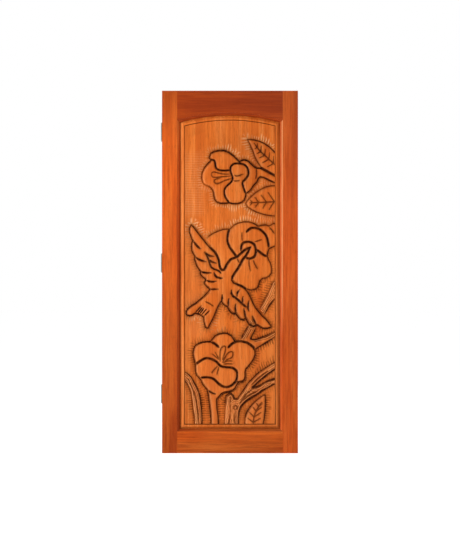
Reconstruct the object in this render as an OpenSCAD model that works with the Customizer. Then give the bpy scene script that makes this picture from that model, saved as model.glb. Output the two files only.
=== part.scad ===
// Carved exterior door leaf: stile-and-rail frame with an arched top rail, one tall floating panel
// carved with flowers, leaves and a hummingbird, and three butt hinges on the back edge.
// Millimetres. X runs across the leaf, +Y from the carved face to the back, +Z up.
// The origin is at the bottom of the leaf, in the middle of its width and thickness.

/* [Leaf] */
// Width of the leaf
door_w = 762; // [700:1:920]
// Height of the leaf
door_h = 2032; // [1950:1:2440]
// Thickness of the leaf
door_t = 44.5; // [40:0.5:57]

/* [Frame members] */
// Flat face of each stile, up to its moulded edge
stile_face_w = 85; // [75:1:110]
// Flat face of the top rail above the crown of the arch
top_rail_face_h = 122; // [100:1:160]
// Flat face of the bottom rail
bottom_rail_face_h = 121; // [100:1:240]
// Rise of the top rail's arch between the stiles
arch_rise = 43; // [25:1:60]
// Width of the moulded edge around the panel
sticking_w = 15; // [13:1:20]
// Depth of the moulded edge where it meets the panel
sticking_d = 13; // [10:0.5:14]
// Square step between a frame face and its moulded edge
sticking_step = 2; // [1:0.5:3]

/* [Panel] */
// Thickness of the tongue around the panel
tongue_t = 9; // [6:0.5:10]
// Depth of the groove that holds the tongue
groove_d = 12; // [8:1:14]
// Play between a tongue face and its groove
tongue_play = 0.2; // [0.1:0.05:0.4]
// Room for the panel to swell at the sides and the top
swell_gap = 2; // [1:0.5:4]
// Width of the slope that rises from the tongue
bevel_w = 12; // [8:1:14]
// Width of the bead around the carved field
bead_w = 13; // [9:1:15]
// Width of the sunk line inside the bead
quirk_w = 5; // [4:0.5:6]
// Depth of the sunk line inside the bead
quirk_d = 5; // [3:0.5:6]
// Depth of the carved field below the frame's face
field_drop = 2; // [1:0.5:4]

/* [Carving] */
// Depth of the lowered ground behind the figures
ground_d = 3; // [2:0.5:4]
// Width of the cuts around the figures and between petals
deep_cut_w = 13; // [10:0.5:15]
// Depth of the cuts around the figures and between petals
deep_cut_d = 8; // [6:0.5:9]
// Width of the cuts between feathers and along branches
middle_cut_w = 9; // [7:0.5:11]
// Depth of the cuts between feathers and along branches
middle_cut_d = 6; // [4:0.5:7]
// Width of the veins, stamens and bark lines
fine_cut_w = 5.5; // [4:0.5:7]
// Depth of the veins, stamens and bark lines
fine_cut_d = 3; // [2:0.5:4]

/* [Dowels] */
// Diameter of the dowels between rails and stiles
dowel_d = 12; // [8:1:14]
// Length of the dowels
dowel_l = 120; // [90:5:140]
// Glue line around a dowel
dowel_glue = 0.1; // [0.05:0.05:0.2]
// Distance of the outer dowel from the leaf's end
dowel_margin = 32; // [25:1:40]
// Distance between the two dowels of a joint
dowel_pitch = 55; // [45:1:60]

/* [Hinges] */
// Height of a hinge
hinge_h = 101.6; // [90:0.1:115]
// Thickness of a hinge leaf
hinge_leaf_t = 3; // [2.5:0.1:3.5]
// Wood left between a hinge leaf and the carved face
hinge_backset = 7; // [5:0.5:10]
// Gap between the leaf's edge and the door frame
hinge_gap = 3; // [2:0.5:4]
// Outer diameter of the knuckles
knuckle_d = 14; // [12:0.5:16]
// Diameter of the hinge pin
pin_d = 8; // [6:0.5:9]
// Radial play of the pin in the knuckles
pin_play = 0.05; // [0.02:0.01:0.1]
// Play between neighbouring knuckles
knuckle_play = 0.3; // [0.2:0.1:0.5]
// From the top of the leaf to the upper hinge
upper_hinge_drop = 178; // [150:1:220]
// From the bottom of the leaf to the lower hinge
lower_hinge_rise = 279; // [220:1:320]
// Diameter of the screw holes in the hinge leaves
screw_hole_d = 5.2; // [4.5:0.1:6]
// Diameter of the countersink at the hinge leaf's face
countersink_d = 9.6; // [8:0.1:11]
// Diameter of the screws' shanks
screw_d = 4.8; // [4:0.1:5]
// Length of the hinge screws
screw_l = 32; // [25:1:40]
// From the edge of a hinge leaf to its far pair of holes
far_hole_inset = 9; // [8:0.5:11]
// From the edge of a hinge leaf to its near pair of holes
near_hole_inset = 22; // [20:0.5:26]
// Distance between the door leaf's far pair of holes and the jamb leaf's near pair
far_hole_pitch = 76; // [66:1:80]
// Distance between the door leaf's near pair of holes and the jamb leaf's far pair
near_hole_pitch = 30; // [24:1:40]

/* [Hidden] */
$fn = 48;

past = 1; // overshoot of every cutter past the face it cuts
arch_facets = 24;
arch_turn_facets = 360;
moulding_facets = 6;

stile_colour = "#c8602a";
rail_colour = "#a8481c";
panel_colour = "#d9732f";
dowel_colour = "#d8b98a";
hinge_colour = "#b8b5b0";

// Opening between the flat faces of the frame, and its arch
half_t = door_t / 2;
half_open = door_w / 2 - stile_face_w;
crown_z = door_h - top_rail_face_h;
arch_r = (pow(half_open, 2) + pow(arch_rise, 2)) / (2 * arch_rise);
arch_centre_z = crown_z - arch_r;
rail_end_z = crown_z - arch_rise - 2 * sticking_w;
groove_t = tongue_t + 2 * tongue_play;

// Insets from the frame's flat faces to the steps of the panel
tongue_inset = sticking_w - groove_d + swell_gap;
seat_inset = sticking_w - groove_d + tongue_play;
bevel_inset = sticking_w + tongue_play;
bead_inset = bevel_inset + bevel_w;
quirk_inset = bead_inset + bead_w;
field_inset = quirk_inset + quirk_w;
field_y = half_t - field_drop;
bead_shoulder = bead_w / 4;

// Carver's transfer grid: the field is divided into squares, counted from its lower left corner
grid_cols = 89;
grid_rows = 304;
field_w = 2 * (half_open - field_inset);
field_bottom = bottom_rail_face_h + field_inset;
field_h = crown_z - field_inset - field_bottom;
cell_w = field_w / grid_cols;
cell_h = field_h / grid_rows;

// Hinges
edge_x = -door_w / 2;
pin_x = edge_x - hinge_gap / 2;
knuckle_clearance = 0.4;
pin_y = half_t + knuckle_d / 2 + knuckle_clearance;
hinge_leaf_y = -half_t + hinge_backset;
knuckles = 5;
knuckle_pitch = hinge_h / knuckles;
jamb_knuckles = [0, 2, 4];
door_knuckles = [1, 3];
pin_cap_h = 4;
pin_cap_d = knuckle_d - 1;
mortise_play = 0.2;
screw_play = 0.1;
upper_hinge_z = door_h - upper_hinge_drop - hinge_h;
lower_hinge_z = lower_hinge_rise;
middle_hinge_z = (upper_hinge_z + lower_hinge_z) / 2;
hinge_zs = [upper_hinge_z, middle_hinge_z, lower_hinge_z];

// Moulded edge of the frame: depth below the face at a distance s from the flat face
function sticking_depth(s) =
    sticking_step + (sticking_d - sticking_step) * (1 - sqrt(1 - pow(s / sticking_w, 2)));
moulding = [for (i = [0:moulding_facets])
    let (s = sticking_w * sin(90 * i / moulding_facets)) [s, sticking_depth(s)]];

// Half section of a frame member beyond its flat face, from the front face to the groove's floor
function front_edge() = [
    for (p = moulding) [p.x, -half_t + p.y],
    [sticking_w, -groove_t / 2],
    [sticking_w - groove_d, -groove_t / 2]
];
function mirrored_back(points) = [for (i = [len(points) - 1:-1:0]) [points[i].x, -points[i].y]];
edge_section = concat(front_edge(), mirrored_back(front_edge()));

// Section across a stile or rail of the given face width, with its outer edge at 0
module member_section(face_w) {
    polygon(concat(
        [[0, half_t], [0, -half_t], [face_w, -half_t]],
        [for (p = edge_section) [face_w + p.x, p.y]],
        [[face_w, half_t]]
    ));
}

module plain_stile() {
    translate([edge_x, 0, 0])
        linear_extrude(door_h) member_section(stile_face_w);
}

module hinge_stile() {
    color(stile_colour) difference() {
        plain_stile();
        dowel_holes();
        for (z = hinge_zs) {
            hinge_mortise(z);
            screw_pilots(z);
        }
    }
}

module lock_stile() {
    color(stile_colour) difference() {
        mirror([1, 0, 0]) plain_stile();
        dowel_holes();
    }
}

// Both stiles as cutters that cope the ends of a rail
module cope() {
    plain_stile();
    mirror([1, 0, 0]) plain_stile();
}

// Everything that lies inside the arch: the opening, the moulded edge and the groove
module arch_cutter() {
    edge = [for (p = edge_section) [arch_r - p.x, p.y]];
    translate([0, 0, arch_centre_z]) rotate([90, 0, 0])
        rotate_extrude($fn = arch_turn_facets) polygon(concat(
            [[0, half_t + past], [0, -half_t - past], [arch_r, -half_t - past]],
            edge,
            [[arch_r, half_t + past]]
        ));
}

module top_rail() {
    color(rail_colour) difference() {
        translate([-half_open, -half_t, rail_end_z])
            cube([2 * half_open, door_t, door_h - rail_end_z]);
        arch_cutter();
        cope();
        dowel_holes();
    }
}

module bottom_rail() {
    color(rail_colour) difference() {
        translate([-half_open, 0, 0]) rotate([90, 0, 90])
            linear_extrude(2 * half_open)
                rotate([0, 0, 90]) mirror([0, 1, 0]) member_section(bottom_rail_face_h);
        cope();
        dowel_holes();
    }
}

// Dowels: two in each joint of a rail and a stile
top_dowel_zs = [door_h - dowel_margin, door_h - dowel_margin - dowel_pitch];
bottom_dowel_zs = [dowel_margin, dowel_margin + dowel_pitch];
dowel_x = half_open - sticking_w / 2;

module dowels(zs, d, l) {
    for (z = zs, side = [-1, 1])
        translate([side * dowel_x, 0, z]) rotate([0, 90, 0]) cylinder(d = d, h = l, center = true);
}

module rail_dowels(zs) {
    color(dowel_colour) dowels(zs, dowel_d, dowel_l);
}

module dowel_holes() {
    dowels(concat(top_dowel_zs, bottom_dowel_zs), dowel_d + 2 * dowel_glue, dowel_l + 2 * dowel_glue);
}

// Panel outline at a distance inside the frame's flat faces; drawn flat, with Y up the door
function panel_outline(inset, bottom_inset) =
    let (
        half = half_open - inset,
        r = arch_r - inset,
        spread = asin(half / r)
    ) concat(
        [[-half, bottom_rail_face_h + bottom_inset], [half, bottom_rail_face_h + bottom_inset]],
        [for (i = [0:arch_facets])
            let (a = spread * (1 - 2 * i / arch_facets))
            [r * sin(a), arch_centre_z + r * cos(a)]]
    );

// Skin between stacked outlines of equal length, closed by flat caps at both ends
module loft(rings) {
    count = len(rings[0]);
    last = len(rings) - 1;
    polyhedron(
        points = [for (ring = rings) each ring],
        faces = concat(
            [[for (i = [0:count - 1]) i]],
            [[for (i = [count - 1:-1:0]) last * count + i]],
            [for (k = [0:last - 1], i = [0:count - 1])
                let (j = (i + 1) % count) each [
                    [k * count + i, (k + 1) * count + i, k * count + j],
                    [k * count + j, (k + 1) * count + i, (k + 1) * count + j]
                ]]
        )
    );
}

// Steps of one side of the panel, from the tongue's edge to the field: [inset, height over mid-plane]
panel_steps = [
    [bevel_inset, tongue_t / 2],
    [bead_inset, field_y - bead_shoulder],
    [bead_inset + bead_shoulder, field_y],
    [quirk_inset, field_y],
    [quirk_inset + quirk_w / 2, field_y - quirk_d],
    [field_inset, field_y]
];
function raised(points, z) = [for (p = points) [p.x, p.y, z]];

module plain_panel() {
    tongue = panel_outline(tongue_inset, seat_inset);
    loft(concat(
        [for (i = [len(panel_steps) - 1:-1:0])
            let (s = panel_steps[i]) raised(panel_outline(s.x, s.x), -s.y)],
        [raised(tongue, -tongue_t / 2), raised(tongue, tongue_t / 2)],
        [for (s = panel_steps) raised(panel_outline(s.x, s.x), s.y)]
    ));
}

module carved_panel() {
    color(panel_colour) rotate([90, 0, 0]) difference() {
        plain_panel();
        carving();
    }
}

// Smooth curves through hand-set points
outline_steps = 1;
slot_steps = 1;
line_steps = 2;
function catmull(a, b, c, d, t) = 0.5 * (
    2 * b + (c - a) * t + (2 * a - 5 * b + 4 * c - d) * t * t + (3 * b - a - 3 * c + d) * t * t * t
);
function open_curve(p, steps) = let (last = len(p) - 1) concat(
    [for (i = [0:last - 1], k = [0:steps - 1])
        catmull(p[max(i - 1, 0)], p[i], p[i + 1], p[min(i + 2, last)], k / steps)],
    [p[last]]
);
function closed_curve(p, steps) = let (m = len(p))
    [for (i = [0:m - 1], k = [0:steps - 1])
        catmull(p[(i + m - 1) % m], p[i], p[(i + 1) % m], p[(i + 2) % m], k / steps)];

// From transfer-grid squares to millimetres on the panel
function on_field(points) = [for (p = points) [p.x * cell_w - field_w / 2, field_bottom + p.y * cell_h]];

// A V-shaped tool cut swept along a line of grid points, shallow at the ends of an open line
end_share = 0.4;
function side_of(a, b) = let (run = b - a) [-run.y, run.x] / norm(run);

module swept_cut(points, w, d, closed) {
    path = on_field(points);
    count = len(path);
    last = count - 1;
    function before(i) = path[closed ? (i + last) % count : max(i - 1, 0)];
    function after(i) = path[closed ? (i + 1) % count : min(i + 1, last)];
    function share(i) = !closed && (i == 0 || i == last) ? end_share : 1;
    reach = w / 2 * (d + past) / d;
    top = field_y + past;
    rings = [for (i = [0:last])
        let (
            p = path[i],
            away = side_of(before(i), after(i)) * reach * share(i),
            bottom = field_y - d * share(i)
        ) [[p.x + away.x, p.y + away.y, top], [p.x - away.x, p.y - away.y, top], [p.x, p.y, bottom]]];
    links = closed ? last : last - 1;
    polyhedron(
        points = [for (ring = rings) each ring],
        faces = concat(
            [for (i = [0:links])
                let (a = 3 * i, b = 3 * ((i + 1) % count)) each [
                    [a, b, b + 1], [a, b + 1, a + 1],
                    [a, a + 2, b + 2], [a, b + 2, b],
                    [a + 1, b + 1, b + 2], [a + 1, b + 2, a + 2]
                ]],
            closed ? [] : [[0, 1, 2], [3 * last + 1, 3 * last, 3 * last + 2]]
        )
    );
}

module deep_cut(points) { swept_cut(open_curve(points, line_steps), deep_cut_w, deep_cut_d, false); }
module middle_cut(points) { swept_cut(open_curve(points, slot_steps), middle_cut_w, middle_cut_d, false); }
module slot_cut(points) { swept_cut(open_curve(points, slot_steps), deep_cut_w, middle_cut_d, false); }
module fine_cut(points) { swept_cut(open_curve(points, line_steps), fine_cut_w, fine_cut_d, false); }
module deep_outline(points) { swept_cut(closed_curve(points, outline_steps), deep_cut_w, deep_cut_d, true); }
module middle_outline(points) {
    swept_cut(closed_curve(points, outline_steps), middle_cut_w, middle_cut_d, true);
}

// A short straight vein, cut from a broad root to a fine tip
tip_sides = 6;
module tool_tip(p, w, d) {
    translate([p.x, p.y, field_y - d])
        cylinder(h = d + past, r1 = 0, r2 = w / 2 * (d + past) / d, $fn = tip_sides);
}
module vein(root, tip) {
    ends = on_field([root, tip]);
    hull() {
        tool_tip(ends[0], fine_cut_w, fine_cut_d);
        tool_tip(ends[1], fine_cut_w * end_share, fine_cut_d * end_share);
    }
}
module leaf_veins(midrib, chevrons) {
    fine_cut(midrib);
    for (c = chevrons, side = [1, 2]) vein(c[0], c[side]);
}

// A short straight slot between two tail feathers, at full width along its middle
slot_end_share = 0.25;
module tail_slot(root, tip) {
    run = (tip - root) * slot_end_share;
    middle_cut([root, root + run, tip - run, tip]);
}

// Outlines of the figures, in grid squares
top_flower = [
    [24, 267], [25.5, 271], [29, 273], [34, 274], [39, 274], [43, 272.5], [48.5, 268.5], [52.5, 264.5],
    [54.6, 262.6], [56, 264], [58.5, 264.8], [61.2, 264.1], [64, 262.5], [66.5, 260], [69, 257.8],
    [71.2, 256.6], [75, 256.3], [80.2, 253.6], [85.2, 250.8], [91, 247.6], [91, 241], [87, 242.5],
    [83, 244.4], [78.4, 246.8], [75.2, 247.5], [73, 246], [72.1, 243.1], [70, 240.6], [68, 238.4],
    [66, 235],
    [63.4, 232.5], [60.8, 231], [60.4, 228], [59, 224], [56.5, 221.9], [52, 220.6], [47, 220.6],
    [44, 221.5],
    [40, 221], [35, 221], [31.5, 222.5], [29.6, 225.3], [28.7, 229], [28, 233], [26.5, 236], [24.3, 237.8],
    [21.5, 238.8], [18.7, 240.3], [17.2, 243], [16.5, 247], [17, 251.5], [19, 256], [22, 260],
    [24.5, 262.5],
    [26.2, 264.4]
];
upper_leaf = [
    [62.2, 285.1], [68.3, 284.8], [73.4, 283.5], [78.5, 281.3], [83.6, 277.8], [87.4, 274.2], [91, 270],
    [91.5, 260], [91, 249.2], [85, 252], [80, 254.8], [75.4, 257.4], [71.4, 263.7], [68.9, 268.8],
    [67.6, 273.3], [65.1, 279]
];
side_leaf = [
    [60.4, 221], [62, 224], [66.5, 228.7], [70.3, 231.9], [75.3, 235], [80, 237.5], [85.3, 238.6],
    [91, 238.7],
    [91.5, 223], [91, 208], [85.3, 208.6], [80.3, 209.3], [75.3, 210.6], [70.3, 212.5], [66, 214.7],
    [62, 217.5]
];
middle_flower_top = [
    [22, 186], [24, 188.4], [28, 191], [33, 193.3], [38, 195], [42, 195.4], [44.5, 195], [46.5, 197],
    [49, 199.4], [53, 201.3], [58, 202.5], [63, 202.5], [67, 201.4], [70, 200], [72.4, 198.1], [76, 199.1],
    [80.3, 199.4], [83.4, 198.4], [85.6, 199.4], [88, 201], [91, 200]
];
middle_flower_foot = [
    [91, 179.4], [88, 177.5], [86, 176.6], [83.5, 175.5], [82.4, 172], [81.6, 168.6], [83, 164.4],
    [85.2, 160.5], [86.3, 155], [86, 151], [83.8, 148.1], [81, 146.3], [77, 145.5], [74.3, 143.4],
    [73.4, 140],
    [72, 136.5], [69.6, 134.7], [65.2, 133.9], [61.8, 134.9], [59.6, 135.7]
];
bird = [
    [6.5, 199.5], [10, 195.5], [14, 190], [18, 185], [22, 180], [26, 175.5], [29.6, 172], [32, 168],
    [33.5, 163.7], [34.3, 158], [35.2, 155.6], [36.7, 153.9], [38.7, 154.3], [40, 156.7], [41.2, 159.3],
    [43.4, 162.5], [45.2, 164.8], [48.4, 166], [51.5, 167.3], [54, 169.4], [57, 172.3], [60.2, 174.8],
    [65, 177], [62.4, 172], [60.2, 168.2], [57, 164.4], [55, 160], [52, 155], [49, 150.6], [47, 147.2],
    [46.8, 144], [48.4, 141.3], [52, 139.7], [56, 138], [59.6, 135.7], [62, 132.5], [64.3, 129],
    [65.6, 126],
    [67.7, 121], [70.2, 116.3], [73.7, 112], [77, 108.2], [80.6, 104.8], [83.4, 101.3], [85.9, 97.8],
    [85.3, 96.5], [82, 95.6], [77.8, 95.5], [74.6, 97.2], [72, 99], [71, 98.5], [68, 97.5], [65.8, 98.4],
    [63.7, 100], [61.8, 103.7], [60.5, 106], [58.3, 104], [55.6, 104.8], [53, 107.3], [51, 110.3],
    [48, 110.3], [45.6, 112], [43.4, 115], [42.5, 117.2], [40, 118.4], [37.7, 120.6], [36.5, 123],
    [35.3, 121.3], [32.8, 117], [31, 112.5], [29, 107.5], [26.8, 103], [25, 99.7], [23.4, 96.3], [22, 95.8],
    [20.3, 96.8], [18.7, 103], [18.7, 107], [14, 109.8], [10, 110.8], [7.4, 108.8], [5.2, 108.1],
    [2.7, 108.4], [1.2, 110], [1.2, 112.5], [3.4, 115.6], [7, 118.4], [11.2, 121], [15.2, 124.5],
    [19, 127.6], [23.1, 132], [25, 134.8], [23.7, 136], [21.2, 138.2], [19, 141], [20.5, 143.5],
    [20.6, 145],
    [17.7, 147.3], [15.5, 150], [15.3, 153], [13, 156.2], [11.2, 159.8], [10, 163.7], [9.5, 165], [10, 168],
    [8.4, 170.4], [6.8, 174], [6.4, 177.5], [6.5, 180.7], [8.1, 183.8], [7, 185.2], [5.6, 188.8],
    [4.3, 192.5], [4.5, 196.2]
];
low_flower = [
    [10.4, 59.4], [9.6, 62.5], [8.4, 67], [8, 71], [8.9, 75.3], [10.4, 78.2], [13, 80], [17, 81.6],
    [21.5, 82.2], [25.3, 82.1], [27.7, 85], [30.2, 88], [33.7, 90], [38, 90.8], [42, 90.5], [45.9, 88.4],
    [48, 85.6], [50.2, 82.4], [56.5, 82.5], [61.1, 81.3], [65, 79], [68, 76.5], [69.8, 73], [69.9, 69.3],
    [68.6, 65], [66.1, 61.2], [63.3, 57.5], [60.6, 54.6], [59.8, 51.2], [60.1, 47.6], [59.5, 44.3],
    [57.4, 42.4], [53.8, 41.8], [52, 39.4], [51, 37.5], [49.6, 34.8], [47, 33], [43, 31.7], [39, 31],
    [36.2, 29.5], [34, 26.8], [31.7, 24.6], [31.5, 21.4], [32.1, 14.5], [33.1, 7], [33.4, -3], [26, -3],
    [25.5, 10], [24.5, 19.3], [23.2, 29], [22, 34.2], [19.5, 37], [17.4, 40], [16.2, 43.2], [14, 46.2],
    [11.8, 48.3], [10.6, 52], [10.2, 55.8]
];
blade = [
    [-2, 52.8], [3, 49.5], [6.2, 46.4], [9, 41.5], [11.5, 37], [13.6, 32.2], [15, 26.3], [15.9, 19],
    [16.6, 10], [17, -3], [9.7, -3], [9, 6.4], [7.9, 14], [7, 22], [6, 29], [4.6, 34.5], [2.4, 39.5],
    [-2, 45.2]
];
trunk = [
    [39, -3], [39.5, 10], [40, 18.2], [40.4, 24], [41, 28], [45, 30.5], [48, 28], [49, 24.9], [51, 24.7],
    [52.8, 25.8], [55.6, 29.7], [58, 33], [60.2, 36.4], [63, 40.5], [67, 44.7], [71, 49], [75.2, 52.4],
    [79.2, 55.2], [84, 58.3], [91, 63], [91, 56], [84, 50.8], [80.2, 47.8], [76.2, 44.9], [72, 41],
    [69.2, 38.4], [67, 36.6], [67.2, 35.4], [70, 36.4], [75.2, 38.5], [80.2, 41.6], [85, 43.8],
    [91, 45.5], [91, 40.4],
    [87.4, 38.9], [82, 35.8], [77, 33], [72, 29.5], [67, 26.6], [62.4, 23.6], [58.6, 20.5], [55.6, 17],
    [53.6, 12], [53, 6.4], [53, -3]
];
low_leaf = [
    [79.3, 29], [76, 27], [72, 24], [68, 20.4], [64.3, 15.8], [61.2, 10.4], [59.6, 5], [59.3, -3], [77, -3],
    [78.7, 5], [79.6, 12], [80, 20], [79.9, 25]
];
forked_twig = [
    [55.6, 84], [57, 88], [59.4, 92], [61.5, 95.4], [63, 99], [70.8, 98], [69, 93], [66.7, 88.6], [65, 85],
    [68.4, 84], [72, 84.8], [77, 86.6], [82, 88.7], [87, 91.3], [91, 93.6], [91, 88.4], [85, 84],
    [80.2, 81],
    [75.2, 78], [70.6, 75], [66, 79], [60, 81.6]
];
wing_twig = [
    [74.5, 114.5], [78.4, 109], [80.9, 113.2], [83, 117], [86.2, 121.3], [91, 127.5], [91, 144],
    [87, 140.6],
    [85, 136], [81, 128], [77.2, 120.8]
];
hidden_middle = [[40, 150], [30, 168]];

deep_figures = [top_flower, bird, low_flower];
middle_figures = [upper_leaf, side_leaf, blade, trunk, low_leaf];
part_figures = [forked_twig, wing_twig, concat(middle_flower_top, middle_flower_foot, hidden_middle)];

// The ground and every cut run out on the inner slope of the sunk line around the field
runout_share = 0.6;
module cut_limit(depth) {
    inset = quirk_inset + runout_share * quirk_w;
    translate([0, 0, field_y - depth]) linear_extrude(depth + past) polygon(panel_outline(inset, inset));
}

module lowered_ground() {
    difference() {
        cut_limit(ground_d);
        translate([0, 0, field_y - ground_d - past]) linear_extrude(ground_d + 3 * past)
            for (f = concat(deep_figures, middle_figures, part_figures))
                polygon(on_field(closed_curve(f, outline_steps)));
    }
}

module top_flower_cuts() {
    deep_cut([[25, 264.8], [28, 264.5], [29.5, 263], [30, 260], [30.5, 257], [32.5, 255], [36.5, 254],
              [41, 254],
              [45, 254.5]]);
    deep_cut([[60.4, 230], [58.7, 235], [57.7, 238], [57, 241.2], [58, 243.4], [60.6, 246], [62.7, 249.4],
              [63, 253], [61.8, 256.9], [59, 259.7], [55, 261], [50, 261], [47.7, 260.3], [45.6, 258],
              [45, 255],
              [45.6, 251.6], [47, 248], [47, 244.4], [45, 241.6], [42, 239], [39.6, 235.9], [39, 232.5],
              [39.6, 228.4], [41.5, 224.7], [44, 221.9]]);
    fine_cut([[49, 249.5], [51, 248.3], [54, 249], [57, 250.3]]);
    fine_cut([[48, 243.8], [50, 243.4], [54, 243.8]]);
    fine_cut([[70.5, 256.5], [71.2, 251], [70, 245.5]]);
    // Stamens that curl over the left petal
    fine_cut([[44, 250.3], [37, 250.5], [31, 252], [28, 252.5], [26.2, 251], [26.5, 248.4], [28.5, 247],
              [35, 247.5],
              [45, 248.5]]);
    fine_cut([[46, 246], [40, 244], [36, 242.2], [32.4, 240.6], [30, 241.2], [28.7, 242.8], [30, 245],
              [35, 246.5]]);
}

module leaf_cuts() {
    leaf_veins([[68.3, 281.6], [74.6, 273.3], [81, 267.5], [90, 259]], [
        [[87.9, 261], [81.5, 257.5], [87.6, 268]],
        [[83.2, 265.3], [77, 261.8], [84, 271.6]],
        [[79, 269.1], [73.8, 266.6], [79.8, 275.2]],
        [[75.2, 272.8], [71.4, 270.9], [75.8, 278.6]],
        [[71.6, 277], [69.2, 275.8], [72, 281.4]]
    ]);
    leaf_veins([[64, 221.6], [77, 222], [90, 222.8]], [
        [[88.5, 222.8], [82.4, 232], [83.4, 214.7]],
        [[81, 222.3], [75.5, 229.2], [77.2, 216.2]],
        [[73.2, 222], [69.4, 227], [69.6, 217]],
        [[66.8, 221.8], [64.4, 224.8], [64.4, 219]]
    ]);
    leaf_veins([[67.6, -1], [68.4, 6.6], [70.6, 12.4], [73.1, 17.2], [76.2, 21.6]], [
        [[67.7, 1.2], [62, 5.7], [74.8, 5.4]],
        [[68.4, 6.6], [63.4, 12], [75.3, 11.2]],
        [[70.6, 12.4], [66.4, 17.7], [76, 16.4]],
        [[73.1, 17.2], [70, 21.6], [76.8, 20]]
    ]);
}

module middle_flower_cuts() {
    middle_cut(middle_flower_top);
    middle_cut(middle_flower_foot);
    deep_cut([[44.5, 195], [43, 192.5], [42.4, 189], [42, 185], [42.6, 181.2], [44.4, 177], [47, 173],
              [49.4, 169.8],
              [51.5, 167.2]]);
    deep_cut([[60.6, 192], [63, 194.4], [65.6, 196.2], [69, 196.4], [73, 195.6], [76.5, 193.2], [79.6, 190],
              [81.5, 186.2], [82.6, 181.2], [83.4, 176.2]]);
    deep_cut([[70.9, 174.7], [73.7, 172.5], [77.4, 169.7], [81.6, 167.4]]);
    // Throat of the flower around the beak
    deep_cut([[55.4, 173.4], [55.9, 178], [57.4, 181], [61.2, 182.4], [65.2, 182], [68.4, 180],
              [69.9, 176.9],
              [70.4, 172.5], [69.3, 168.4], [66.5, 166.2], [63.4, 165.5], [60.5, 166.5]]);
    fine_cut([[56.5, 192], [56.4, 187.6], [56.8, 183.4]]);
    fine_cut([[69, 182.2], [72.4, 183.4], [76, 184.7]]);
    fine_cut([[63.5, 165], [63.6, 159.4], [65, 153.4]]);
    fine_cut([[67.3, 164.5], [69.6, 159.4], [72, 155]]);
    fine_cut([[83.5, 197.5], [86, 194.5], [88.5, 190.8]]);
}

module bird_cuts() {
    fine_cut([[51.5, 166.4], [52.6, 163.6], [54.4, 161]]);
    // Left wing: slots between the long feathers, the line of the coverts and their slots
    slot_cut([[7.6, 184], [10.4, 180], [12.8, 177.2], [15.6, 175]]);
    slot_cut([[9.6, 167.6], [13, 165], [16.8, 163.4], [21, 162.2]]);
    slot_cut([[14.8, 153], [18, 151.7], [22, 151.1], [26, 151.4]]);
    slot_cut([[20.5, 144], [23.7, 142.8], [27, 142.2], [31, 143]]);
    slot_cut([[24.4, 134.8], [28, 134.7], [33, 135]]);
    middle_cut([[19, 172], [21, 170], [22.1, 167.5], [23.1, 165], [24, 162.2], [24.9, 159.4], [26.2, 156.6],
              [28.7, 155], [31.5, 154.1], [34.3, 152.5], [36, 150.3]]);
    slot_cut([[19.5, 172.5], [22, 169.5], [25.2, 168.1], [29, 167.7]]);
    slot_cut([[23.5, 165], [26.2, 162.5], [31, 160.8]]);
    slot_cut([[28.6, 152], [29.6, 148.8], [31.5, 146.9], [35, 145.9], [37.3, 145.8]]);
    // Right wing
    slot_cut([[66.8, 108.4], [67.8, 105], [69.6, 101.3], [71.4, 98]]);
    slot_cut([[58.4, 115.6], [59, 112], [59.9, 107.5], [61.2, 104]]);
    slot_cut([[50.4, 120.3], [49.9, 116.3], [50.3, 112], [51.5, 108.8]]);
    slot_cut([[43.4, 125.6], [42.9, 121], [43, 116.8]]);
    slot_cut([[36.8, 129.5], [36.8, 126], [36, 122]]);
    slot_cut([[46, 134.5], [46, 130.6], [47.4, 127.8], [50.2, 126.2], [53, 123.8], [56.5, 120.6],
              [59.6, 117.8], [61.5, 116.6]]);
    slot_cut([[54.3, 134.5], [52.1, 131.6], [51.5, 127.5]]);
    slot_cut([[57.6, 127.8], [57.1, 123.8], [57.5, 121]]);
    slot_cut([[63.4, 123.4], [62.8, 119.4], [62.5, 116], [63.6, 112.5]]);
    // Tail
    for (slot = [
        [[9.6, 110.8], [16.5, 118.4]], [[12.2, 110.4], [17.5, 117]], [[14.4, 109.9], [19, 116.3]],
        [[16.4, 109.2], [21.5, 115.2]], [[18.8, 108], [24.6, 113.5]]
    ]) tail_slot(slot[0], slot[1]);
    fine_cut([[20, 122.5], [24, 120.5], [28, 117.8]]);
}

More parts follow.
